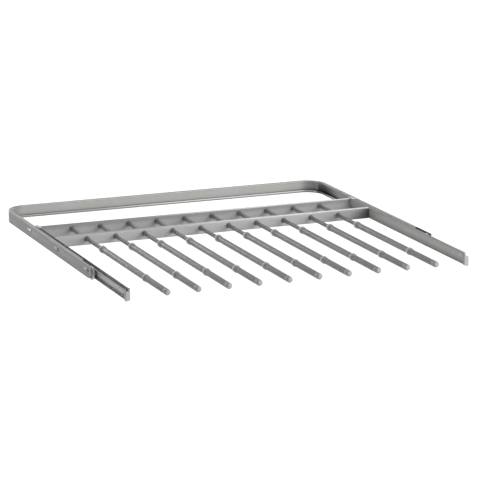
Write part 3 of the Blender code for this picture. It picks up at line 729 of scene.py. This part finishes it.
FRAME_PAINT = painted_steel("frame_paint", 152, WARM, 0.42, ALONG_Y, frame_tones)
RAIL_PAINT = painted_steel("rail_paint", 161, WARM, 0.40, ALONG_Y, rail_tones)
CROSSBAR_PAINT = painted_steel("crossbar_paint", 143, PLAIN, 0.40, ALONG_X, crossbar_tones)
ROD_STEEL = bare_steel("rod_steel", 114, roughness=0.50, metallic=0.1, stretch=ALONG_Y)
WELD_STEEL = bare_steel("weld_steel", 100, roughness=0.55, metallic=0.3, stretch=ALL_ROUND)
AXLE_STEEL = bare_steel("axle_steel", 170, roughness=0.32, metallic=0.8, stretch=ALONG_AXLE)
SLEEVE_PLASTIC = moulded("sleeve_plastic", 98, WARM, roughness=0.50, coat_weight=0.15, painted_sheen=0.55,
                         tones=sleeve_tones)
TIP_PLASTIC = moulded("tip_plastic", 128, COOL, roughness=0.50)
RING_PLASTIC = moulded("ring_plastic", 132, PLAIN, roughness=0.45, depth=0.00001,
                       coat_weight=0.15, tones=ring_tones)
ROLLER_NYLON = moulded("roller_nylon", 182, PLAIN, roughness=0.42, peel=0.0007, coat_weight=0.2)
# One plastic in two greys: darker on the front caps as painted shade against their strong light,
# lighter on the rear caps as painted light where they lie in shade
CAP_PLASTIC = moulded("cap_plastic", 132, COOL, roughness=0.48, edge_highlight=0.5)
REAR_CAP_LIGHTENED_PLASTIC = moulded("rear_cap_lightened_plastic", 196, COOL, roughness=0.48, edge_highlight=0.5)


# Fixed frame


def frame_section(low, high):
    """The frame's lipped channel, as (inward, up) points."""
    width, gauge = FRAME_FLANGE, FRAME_GAUGE
    inside, outer = width - gauge, FRAME_BEND + gauge
    lip_low, lip_high = low + FRAME_LOW_LIP, high - FRAME_LIP
    return rounded_outline([
        (0, low, outer), (width, low, outer), (width, lip_low, 0), (inside, lip_low, 0),
        (inside, low + gauge, FRAME_BEND), (gauge, low + gauge, FRAME_BEND),
        (gauge, high - gauge, FRAME_BEND), (inside, high - gauge, FRAME_BEND),
        (inside, lip_high, 0), (width, lip_high, 0), (width, high, outer), (0, high, outer),
    ])


def frame_path(half, depth):
    """Stations along the U and their inward directions.

    A leg runs straight from Y = -depth, each corner is a quarter circle of FRAME_CORNER about its
    own centre, and a station on it points inwards at that centre.
    """
    reach = half - FRAME_CORNER
    angle = np.linspace(math.pi, math.pi / 2, CORNER_STEPS + 1)
    spokes = np.stack([np.cos(angle), np.sin(angle), np.zeros_like(angle)], 1)
    mirrored = spokes[::-1] * (-1, 1, 1)
    left = np.array((-reach, -FRAME_CORNER, 0)) + FRAME_CORNER * spokes
    right = np.array((reach, -FRAME_CORNER, 0)) + FRAME_CORNER * mirrored
    stations = np.vstack([(-half, -depth, 0), left, right, (half, -depth, 0)])
    inward = np.vstack([X_AXIS, -spokes, -mirrored, -X_AXIS])
    return stations, inward


def upright_prism(name, outline, x_start, x_end):
    """A prism along X over an outline of (y, z) points."""
    return swept(name, np.array(outline, float), [(x_start, 0, 0), (x_end, 0, 0)], Y_AXIS)


def box_outline(start, end, foot, top):
    """The corners of an upright rectangle, as (along, up) points."""
    return [(start, foot), (end, foot), (end, top), (start, top)]


def leg_cutters(name, side):
    """What is cut from a leg: both flanges and the lower corner at its front end, and its holes."""
    low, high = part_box("u_frame")
    roller_low, roller_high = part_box(f"front_roller_{name}")
    _, axle_y, axle_z = middle_of(roller_low, roller_high)
    outer, front = side * high.x, low.y
    beyond = outer + side * OVERRUN
    web = outer - side * (FRAME_GAUGE + FRAME_BEND)
    behind_web = web - side * OVERRUN
    inside = outer - side * (FRAME_FLANGE + OVERRUN)
    flange = FRAME_LOW_LIP + OVERRUN
    well_end = axle_y + (roller_high.z - roller_low.z) / 2 + ROLLER_WELL_CLEAR
    top = box_outline(front - OVERRUN, front + TOP_CUTAWAY, high.z - flange, high.z + OVERRUN)
    bottom = box_outline(front - OVERRUN, well_end, low.z - OVERRUN, low.z + flange)
    angle = np.linspace(math.pi, 1.5 * math.pi, CORNER_STEPS + 1)
    nose = list(zip(front + LEG_NOSE * (1 + np.cos(angle)), low.z + LEG_NOSE * (1 + np.sin(angle))))
    nose += [(front + LEG_NOSE, low.z - OVERRUN), (front - OVERRUN, low.z - OVERRUN),
             (front - OVERRUN, low.z + LEG_NOSE)]
    cutters = [
        upright_prism("cut_top", top, web, inside),
        upright_prism("cut_bottom", bottom, web, inside),
        upright_prism("cut_nose", nose, beyond, behind_web),
        turned("cut_axle", pin(AXLE_RADIUS, 2 * OVERRUN), (beyond, axle_y, axle_z), (-side, 0, 0),
               HOLE_STEPS),
    ]
    flare = OVERRUN / 2
    start = outer + side * flare
    dish, sunk, shallow = flare + DISH_DEPTH, flare + FRAME_GAUGE, flare + TROUGH_DEPTH
    hole = [(0, 0), (0, DISH_RADIUS), (flare, DISH_RADIUS), (dish, SCREW_HOLE_RADIUS),
            (dish, COUNTERSINK_RADIUS - DISH_DEPTH), (sunk, COUNTERSINK_RADIUS),
            (sunk + flare, COUNTERSINK_RADIUS), (sunk + flare, 0)]
    trough = [(0, 0), (0, TROUGH_RADIUS), (flare, TROUGH_RADIUS), (shallow, TROUGH_FLOOR),
              (shallow, 0)]
    seat = [(0, 0), (0, AXLE_DISH_RADIUS), (flare, AXLE_DISH_RADIUS), (dish, AXLE_RADIUS),
            (dish, 0)]
    places = []
    for y in SCREW_HOLE_Y:
        places.append(("cut_screw", hole, y, SCREW_HOLE_RISE, 1.0))
        places.append(("cut_trough", trough, y + TROUGH_SHIFT, SCREW_HOLE_RISE, TROUGH_STRETCH))
    places.append(("cut_seat", seat, axle_y, axle_z, 1.0))
    for label, profile, y, z, stretch in places:
        cutters.append(turned(label, profile, (start, y, z), (-side, 0, 0), HOLE_STEPS, stretch))
    return cutters


def make_frame():
    """The U of lipped channel, with its cut-aways and holes."""
    low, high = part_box("u_frame")
    stations, inward = frame_path(high.x, -low.y)
    piece = swept("frame_channel", frame_section(low.z, high.z), stations, inward)
    cutters = []
    for name, side in SIDES.items():
        cutters += leg_cutters(name, side)
    combine(piece, cutters, "DIFFERENCE")
    soften(piece, BURR)
    place(piece, FRAME_PAINT, "frame", "u_frame")


# Carriage


def rail_section(setback):
    """The rail, as (outward, up) points from the foot of its inner face."""
    low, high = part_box("rail_left")
    depth, height, gauge, fold = high.x - low.x, high.z - low.z, RAIL_GAUGE, RAIL_FOLD
    outer = fold + gauge
    bead, floor, brim = RAIL_BEAD, RAIL_LEDGE + gauge, depth - setback
    return rounded_outline([
        (0, 0, outer), (depth, 0, 0), (depth, gauge, 0), (gauge, gauge, fold),
        (gauge, RAIL_BEAD_LOW - bead, bead), (gauge + bead, RAIL_BEAD_LOW, bead / 2),
        (gauge + bead, RAIL_BEAD_HIGH, bead / 2), (gauge, RAIL_BEAD_HIGH + bead, bead),
        (gauge, RAIL_LEDGE, fold), (depth, RAIL_LEDGE, RAIL_LEDGE_ROUND),
        (depth, floor, RAIL_LEDGE_ROUND), (gauge, floor, fold), (gauge, height - gauge, fold),
        (brim, height - gauge, 0), (brim, height, 0), (0, height, outer),
    ])


def make_rail(name, side):
    """A rolled rail with its two holes."""
    low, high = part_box(f"rail_{name}")
    inner = low.x if side > 0 else high.x
    stations = [(inner, high.y, low.z), (inner, low.y, low.z)]
    section = rail_section(RAIL_TOP_SETBACK[name])
    piece = swept(f"rail_{name}_rolled", section, stations, (side, 0, 0))
    _, axle_y, axle_z = middle_of(*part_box(f"rear_axle_{name}"))
    start, through = inner - side * OVERRUN / 2, RAIL_GAUGE + RAIL_BEAD + OVERRUN
    cutters = []
    for radius, y, z in ((AXLE_RADIUS, axle_y, axle_z),
                         (RAIL_HOLE_RADIUS, low.y + RAIL_HOLE_SETBACK, low.z + RAIL_HOLE_HEIGHT)):
        hole = pin(radius, through)
        cutters.append(turned("cut_hole", hole, (start, y, z), (side, 0, 0), HOLE_STEPS))
    combine(piece, cutters, "DIFFERENCE")
    soften(piece, BURR)
    place(piece, RAIL_PAINT, "carriage", f"rail_{name}")


def make_crossbar(name):
    """A channel between the rails, open to the rear, with a hole for each rod."""
    low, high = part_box(name)
    depth, height, gauge = high.y - low.y, high.z - low.z, CROSSBAR_GAUGE
    outer = CROSSBAR_BEND + gauge
    section = rounded_outline([
        (0, 0, outer), (depth, 0, 0), (depth, gauge, 0), (gauge, gauge, CROSSBAR_BEND),
        (gauge, height - gauge, CROSSBAR_BEND), (depth, height - gauge, 0), (depth, height, 0),
        (0, height, outer),
    ])
    stations = [(low.x, low.y, low.z), (high.x, low.y, low.z)]
    piece = swept(f"{name}_pressed", section, stations, Y_AXIS)
    hole = pin(ROD_RADIUS + ROD_FIT, gauge + OVERRUN)
    cutters = []
    for number in ROD_NUMBERS:
        x, _, z = middle_of(*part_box(f"rod_{number}"))
        cutters.append(turned("cut_rod", hole, (x, low.y - OVERRUN / 2, z), Y_AXIS, HOLE_STEPS))
    combine(piece, cutters, "DIFFERENCE")
    soften(piece, BURR)
    place(piece, CROSSBAR_PAINT, "carriage", name)


def make_welds(name):
    """A fillet round each rod at a crossbar's front face.

    At angle t, from 0 to a quarter turn, a point is WELD_REACH * sin t - WELD_SINK in front of
    the face, and its radius is that of the rod's hole plus the fillet's height times cos t to
    the power of WELD_HOLLOW.
    """
    front_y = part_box(name)[0].y
    angle = np.linspace(0, math.pi / 2, ARC_STEPS + 1)
    along = WELD_REACH * np.sin(angle) - WELD_SINK
    radius = ROD_RADIUS + ROD_FIT + (WELD_RADIUS - ROD_RADIUS) * np.cos(angle) ** WELD_HOLLOW
    profile = [(along[0], ROD_RADIUS), *zip(along, radius), (along[-1], ROD_RADIUS)]
    for number in ROD_NUMBERS:
        x, _, z = middle_of(*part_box(f"rod_{number}"))
        piece = turned(f"{name}_weld_{number}", profile, (x, front_y, z), -Y_AXIS, HOLE_STEPS)
        place(piece, WELD_STEEL, "carriage")


def make_rod(number):
    """A thin tube with its sleeve, tip and rings."""
    low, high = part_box(f"rod_{number}")
    x, _, z = middle_of(low, high)

    def about_rod(name, profile):
        """Turn a profile of (Y, radius) points about the rod's axis."""
        return turned(name, [(-y, radius) for y, radius in profile], (x, 0, z), -Y_AXIS)

    bore = ROD_RADIUS - ROD_WALL
    tube = [(high.y, bore), *arc_edge(high.y, ROD_RADIUS, ROD_EDGE, (-1, -1)),
            (low.y, ROD_RADIUS), (low.y, bore)]
    piece = about_rod(f"rod_{number}_tube", tube)
    place(piece, ROD_STEEL, "carriage", f"rod_{number}")
    make_sleeve(number, about_rod)
    for end in ENDS:
        make_ring(number, end, about_rod)


def make_sleeve(number, about_rod):
    """The sleeve's tube and its closed tip, which meet at a fine seam."""
    low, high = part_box(f"sleeve_{number}")
    radius = (high.x - low.x) / 2
    bore = ROD_RADIUS + SLEEVE_FIT
    seam = low.y + TIP_LENGTH
    start = seam + TIP_SEAM / 2
    body = [(high.y, bore), *arc_edge(high.y, radius, SLEEVE_EDGE, (-1, -1)),
            *reversed(arc_edge(start, radius, TIP_SEAM, (1, -1))), (start, bore)]
    piece = about_rod(f"sleeve_{number}_tube", body)
    place(piece, SLEEVE_PLASTIC, "carriage", f"sleeve_{number}")
    angle = np.linspace(0, math.pi / 2, NOSE_STEPS + 1)
    nose_y = low.y + TIP_ROUND * (1 - np.sin(angle))
    nose_r = radius - TIP_ROUND * (1 - np.cos(angle))
    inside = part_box(f"rod_{number}")[0].y - SLEEVE_FIT
    tip = [(inside, 0), (inside, bore), (seam, bore), *arc_edge(seam, radius, TIP_SEAM, (-1, -1)),
           *zip(nose_y, nose_r), (low.y, 0)]
    place(about_rod(f"sleeve_{number}_tip", tip), TIP_PLASTIC, "carriage")


def make_ring(number, end, about_rod):
    """A stop ring: a collar at the rear that tapers to the front."""
    node_name = f"{end}_ring_{number}"
    low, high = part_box(node_name)
    radius = (high.x - low.x) / 2
    sleeve_low, sleeve_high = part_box(f"sleeve_{number}")
    bore = (sleeve_high.x - sleeve_low.x) / 2 + SLEEVE_FIT
    profile = [*arc_edge(high.y, radius, RING_EDGE, (-1, -1)), (high.y - RING_COLLAR, radius),
               (low.y + RING_TOE, bore + RING_TOE), (low.y, bore + RING_TOE / 2), (low.y, bore)]
    if end == "rear":
        wall, narrow = sleeve_high.y + SLEEVE_FIT, ROD_RADIUS + SLEEVE_FIT
        profile += [(wall, bore), (wall, narrow), (high.y, narrow)]
    else:
        profile += [(high.y, bore)]
    piece = about_rod(f"{node_name}_moulded", profile)
    place(piece, RING_PLASTIC, "carriage", node_name)


def make_front_roller(name, side):
    """A nylon wheel: a drum inside the rail, a rim beside it, and a hub towards the leg."""
    low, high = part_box(f"front_roller_{name}")
    centre = middle_of(low, high)
    half, rim = (high.x - low.x) / 2, (high.z - low.z) / 2
    bore, edge = AXLE_RADIUS + SLEEVE_FIT, ROLLER_EDGE
    rim_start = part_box("rail_right")[1].x + ROLLER_RIM_GAP - abs(centre[0])
    rim_end = rim_start + ROLLER_RIM_WIDTH
    recess = rim_end - RIM_RECESS
    profile = [
        (-half, bore), *arc_edge(-half, DRUM_RADIUS, edge, (1, -1)), (rim_start, DRUM_RADIUS),
        *arc_edge(rim_start, rim, edge, (1, -1)), *reversed(arc_edge(rim_end, rim, edge, (-1, -1))),
        (rim_end, RIM_RECESS_RADIUS), (recess, RIM_RECESS_RADIUS - RIM_RECESS),
        (recess, FRONT_HUB_RADIUS), (half, FRONT_HUB_RADIUS), (half, bore),
    ]
    piece = turned(f"front_roller_{name}_wheel", profile, centre, (side, 0, 0))
    place(piece, ROLLER_NYLON, f"front_roller_{name}", f"front_roller_{name}")


def make_rear_roller(name, side):
    """A nylon wheel that runs inside the leg, on a hub that reaches it from the rail."""
    low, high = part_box(f"rear_roller_{name}")
    centre = middle_of(low, high)
    half, radius = (high.x - low.x) / 2, (high.z - low.z) / 2
    bore, edge = AXLE_RADIUS + SLEEVE_FIT, ROLLER_EDGE
    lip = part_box("u_frame")[1].x - FRAME_FLANGE + FRAME_GAUGE
    rim, recess = lip + ROLLER_FIT - abs(centre[0]), half - REAR_RECESS
    profile = [
        (-half, bore), (-half, REAR_HUB_RADIUS), (rim, REAR_HUB_RADIUS),
        *arc_edge(rim, radius, edge, (1, -1)), *reversed(arc_edge(half, radius, edge, (-1, -1))),
        (half, REAR_RECESS_RADIUS), (recess, REAR_RECESS_RADIUS), (recess, bore),
    ]
    piece = turned(f"rear_roller_{name}_wheel", profile, centre, (side, 0, 0))
    place(piece, ROLLER_NYLON, f"rear_roller_{name}", f"rear_roller_{name}")


def dress_axles():
    """The axles keep their solids and get the turned finish."""
    for end in ENDS:
        for name in SIDES:
            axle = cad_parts[f"{end}_axle_{name}"]
            axle.data.materials.clear()
            axle.data.materials.append(AXLE_STEEL)


def make_front_cap(name, side):
    """A plastic cap with a foot, a plug, and a tab along the inner face up to the rail's top."""
    low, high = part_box(f"front_cap_{name}")
    rail_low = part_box(f"rail_{name}")[0]
    inner = low.x if side > 0 else high.x
    width, height = high.x - low.x, high.z - low.z
    face_end = rail_low.y - CAP_PLUG_CLEAR
    foot_x = width - CAP_FOOT_WIDTH
    step = rail_low.z + RAIL_LEDGE - low.z
    small = CAP_ROUND / 2
    plate = rounded_outline([
        (0, CAP_FOOT_DROP, small), (foot_x, CAP_FOOT_DROP, 0), (foot_x, 0, small),
        (width, 0, small), (width, step, CAP_ROUND), (CAP_TAB_WIDTH, step, small),
        (CAP_TAB_WIDTH, height - CAP_TAB_SLOPE, small), (0, height, small),
    ])
    stations = [(inner, face_end, low.z), (inner, low.y, low.z)]
    piece = swept(f"front_cap_{name}_moulded", plate, stations, (side, 0, 0))
    combine(piece, [cap_plug(name, side, high.y, (face_end + low.y) / 2)], "UNION")
    soften(piece, CAP_EDGE, CAP_EDGE_STEPS)
    place(piece, CAP_PLASTIC, "carriage", f"front_cap_{name}")


def cap_plug(name, side, deep_y, shallow_y):
    """The plug that a cap pushes into the rail's channel."""
    low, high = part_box(f"rail_{name}")
    inner = low.x if side > 0 else high.x
    start, end = RAIL_GAUGE + RAIL_BEAD + CAP_PLUG_CLEAR, high.x - low.x - CAP_PLUG_CLEAR
    foot, top = RAIL_GAUGE + CAP_PLUG_CLEAR, RAIL_LEDGE - CAP_PLUG_CLEAR
    section = np.array(box_outline(start, end, foot, top))
    stations = [(inner, deep_y, low.z), (inner, shallow_y, low.z)]
    return swept("cap_plug", section, stations, (side, 0, 0))


def make_rear_cap(name, side):
    """A plastic cap with a tongue over the rail's top, and a plug."""
    low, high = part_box(f"rear_cap_{name}")
    rail_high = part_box(f"rail_{name}")[1]
    inner = low.x if side > 0 else high.x
    width, height = high.x - low.x, high.z - low.z
    face_end = rail_high.y + CAP_PLUG_CLEAR
    middle = (face_end + high.y) / 2
    tongue_foot = rail_high.z + CAP_PLUG_CLEAR - low.z

    def block(label, corners, start_y, end_y):
        """An outline of (outward, up, radius) corners carried from one y to another."""
        stations = [(inner, start_y, low.z), (inner, end_y, low.z)]
        return swept(label, rounded_outline(corners), stations, (side, 0, 0))

    top = [(width, height, CAP_ROUND), (0, height, CAP_ROUND)]
    plate = [(0, 0, CAP_ROUND), (width, 0, CAP_ROUND), *top]
    tongue = [(0, tongue_foot, 0), (width, tongue_foot, 0), *top]
    piece = block(f"rear_cap_{name}_moulded", plate, face_end, high.y)
    combine(piece, [block("tongue", tongue, low.y, middle),
                    cap_plug(name, side, face_end - CAP_PLUG_LENGTH, middle)], "UNION")
    soften(piece, CAP_EDGE, CAP_EDGE_STEPS)
    place(piece, REAR_CAP_LIGHTENED_PLASTIC, "carriage", f"rear_cap_{name}")


# Stage


def white_where_seen(tree, shown, lit):
    """Mix a shader for camera, glossy and transmission rays with another for all other rays."""
    path = node(tree, "ShaderNodeLightPath")
    seen = math_node(tree, "MAXIMUM", path.outputs["Is Camera Ray"], path.outputs["Is Glossy Ray"])
    seen = math_node(tree, "MAXIMUM", seen, path.outputs["Is Transmission Ray"])
    return node(tree, "ShaderNodeMixShader", i0=seen, i1=lit, i2=shown).outputs[0]


def make_floor():
    """A pale round floor: point (i, j) is at radius i of the floor and angle j."""
    radius = np.array(FLOOR_RADII)[:, None]
    angle = np.arange(ROUND_STEPS)[None] * math.tau / ROUND_STEPS
    x, y = radius * np.cos(angle), radius * np.sin(angle)
    floor = surface("floor", np.stack([x, y, np.full_like(x, FLOOR_Z)], -1), capped=True)
    material, tree, shader = finish("floor_white", 0.9, 0.0)
    tree.nodes.remove(shader)

    def glowing(strength, share):
        """A white glow, plus a share of the light that falls on it."""
        glow = node(tree, "ShaderNodeEmission", Color=WHITE, Strength=strength).outputs[0]
        pale = node(tree, "ShaderNodeBsdfDiffuse", Color=(share, share, share, 1)).outputs[0]
        return node(tree, "ShaderNodeAddShader", i0=glow, i1=pale).outputs[0]

    shown, lit = glowing(FLOOR_GLOW, FLOOR_SHOWN), glowing(FLOOR_BOUNCE, FLOOR_WHITE)
    out = tree.nodes["Material Output"]
    feed(tree, out, "Surface", white_where_seen(tree, shown, lit))
    floor.data.materials.append(material)


def make_world():
    """White where it is seen, and a soft grey light on the object."""
    world = bpy.data.worlds.new("studio")
    world.use_nodes = True
    bpy.context.scene.world = world
    tree = world.node_tree
    tree.nodes.clear()
    shown = node(tree, "ShaderNodeBackground", Color=WHITE, Strength=1.0).outputs[0]
    lit = node(tree, "ShaderNodeBackground", Color=WHITE, Strength=SKY).outputs[0]
    out = tree.nodes.new("ShaderNodeOutputWorld")
    feed(tree, out, "Surface", white_where_seen(tree, shown, lit))


def make_lights():
    """Large soft lamps that look at the hanger's middle."""
    for name, (place_of, watts) in LAMPS.items():
        lamp = bpy.data.lights.new(name, "AREA")
        lamp.size = LAMP_SIZE
        lamp.energy = watts
        thing = bpy.data.objects.new(name, lamp)
        bpy.context.scene.collection.objects.link(thing)
        thing.location = place_of
        aim = np.array(LAMP_TARGET) - np.array(place_of)
        thing.rotation_euler = (math.atan2(math.hypot(aim[0], aim[1]), -aim[2]), 0,
                                math.atan2(aim[1], aim[0]) - math.pi / 2)


def make_camera():
    """The photograph's camera."""
    data = bpy.data.cameras.new("camera")
    data.lens = CAMERA_LENS
    data.sensor_width = CAMERA_SENSOR
    data.clip_start, data.clip_end = CAMERA_CLIP
    camera = bpy.data.objects.new("camera", data)
    bpy.context.scene.collection.objects.link(camera)
    camera.location = CAMERA_PLACE
    camera.rotation_euler = (math.radians(90 + CAMERA_PITCH), 0, math.radians(-CAMERA_YAW))
    bpy.context.scene.camera = camera


make_camera()
make_world()
make_lights()
make_floor()
make_frame()
dress_axles()
for side_name, side_sign in SIDES.items():
    make_rail(side_name, side_sign)
    make_front_roller(side_name, side_sign)
    make_rear_roller(side_name, side_sign)
    make_front_cap(side_name, side_sign)
    make_rear_cap(side_name, side_sign)
for bar in ("front_crossbar", "rear_crossbar"):
    make_crossbar(bar)
    make_welds(bar)
for rod_number in ROD_NUMBERS:
    make_rod(rod_number)

bpy.context.scene.view_settings.view_transform = "Standard"
